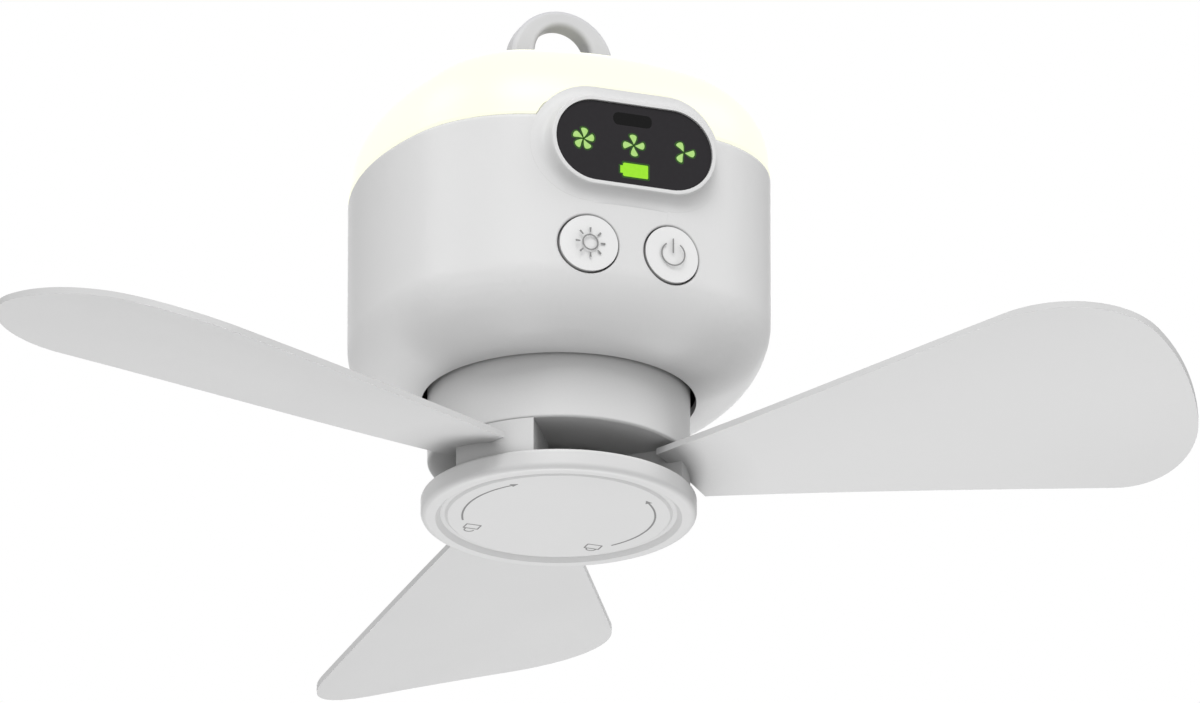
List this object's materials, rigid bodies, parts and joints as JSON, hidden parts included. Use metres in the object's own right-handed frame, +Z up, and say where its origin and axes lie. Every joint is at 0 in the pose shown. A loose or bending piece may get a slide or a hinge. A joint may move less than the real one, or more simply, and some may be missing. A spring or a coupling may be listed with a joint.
{
  "type": "portable camping fan",
  "caption": "Hanging fan and lantern with a hook eye, glowing dome, display, two push buttons, turning drum, paddle blades and twist-lock cap.",
  "frame": {"origin": "centre of the hook's eye", "axes": "+Z up, display faces -Y, X to the right of a viewer who faces the display"},
  "size_m": [0.2918, 0.2819, 0.1331],
  "materials": {
    "casing_plastic": "satin",
    "blade_plastic": "satin",
    "diffuser_plastic": "satin",
    "reflector_plastic": "matte",
    "screw_steel": "zinc plated",
    "pin_steel": "ground",
    "board": "satin",
    "lamp_chip": "satin",
    "mark_chip": "satin",
    "tinted_window": "gloss",
    "black_plastic": "matte",
    "switch_metal": "satin",
    "socket_steel": "nickel plated",
    "cell_sleeve": "shrink sleeve",
    "nickel_tab": "bright",
    "motor_casting": "glass filled nylon",
    "core_steel": "laminated",
    "copper_wire": "enamelled",
    "bearing_steel": "ground",
    "can_steel": "zinc plated",
    "magnet": "coated"
  },
  "bodies": {
    "hook": {"hanging_hook": "casing_plastic"},
    "housing": {"casing": "casing_plastic", "lamp_diffuser": "diffuser_plastic", "lamp_tray": "reflector_plastic", "tray_screws": "screw_steel", "lamp_board": "board", "lamp_chips": "lamp_chip", "hook_base": "casing_plastic", "hook_base_screws": "screw_steel", "hook_pin": "pin_steel", "display_window": "tinted_window", "display_mask": "black_plastic", "display_board": "board", "display_chips": "mark_chip", "remote_receiver": "black_plastic", "switch_board": "board", "switch_housings": "switch_metal", "switch_board_screws": "screw_steel", "charging_socket": "socket_steel", "main_board": "board", "main_board_screws": "screw_steel", "main_board_parts": "black_plastic", "battery_cells": "cell_sleeve", "cell_tabs": "nickel_tab", "battery_cradle": "black_plastic", "cradle_screws": "screw_steel", "cell_clamp": "black_plastic", "motor_mount": "motor_casting", "motor_mount_screws": "screw_steel", "stator_core": "core_steel", "stator_coils": "copper_wire", "shaft_bearings": "bearing_steel"},
    "light_button": {"light_button": "casing_plastic", "light_switch_plunger": "black_plastic"},
    "power_button": {"power_button": "casing_plastic", "power_switch_plunger": "black_plastic"},
    "rotor": {"motor_shaft": "pin_steel", "shaft_clip": "pin_steel", "rotor_can": "can_steel", "rotor_screws": "screw_steel", "magnet_ring": "magnet", "hub_drum": "casing_plastic", "blade_1": "blade_plastic", "blade_2": "blade_plastic", "blade_3": "blade_plastic"},
    "cap": {"lock_cap": "casing_plastic"}
  },
  "joints": [
    {"name": "hook_fold", "type": "hinge", "parent": "hook", "child": "housing", "pos_m": [0, 0, -0.0082], "axis": [1, 0, 0], "range_deg": [0, 90]},
    {"name": "rotor_spin", "type": "hinge", "parent": "housing", "child": "rotor", "pos_m": [0, 0, -0.0956], "axis": [0, 0, 1], "continuous": true},
    {"name": "cap_twist", "type": "hinge", "parent": "rotor", "child": "cap", "pos_m": [0, 0, -0.1176], "axis": [0, 0, 1], "range_deg": [0, 30]},
    {"name": "light_button_press", "type": "slide", "parent": "housing", "child": "light_button", "axis": [0, 1, 0], "range_m": [0, 0.0006], "stiffness_N_per_m": 1500, "springref_m": -0.0002},
    {"name": "power_button_press", "type": "slide", "parent": "housing", "child": "power_button", "axis": [0, 1, 0], "range_m": [0, 0.0006], "stiffness_N_per_m": 1500, "springref_m": -0.0002}
  ]
}
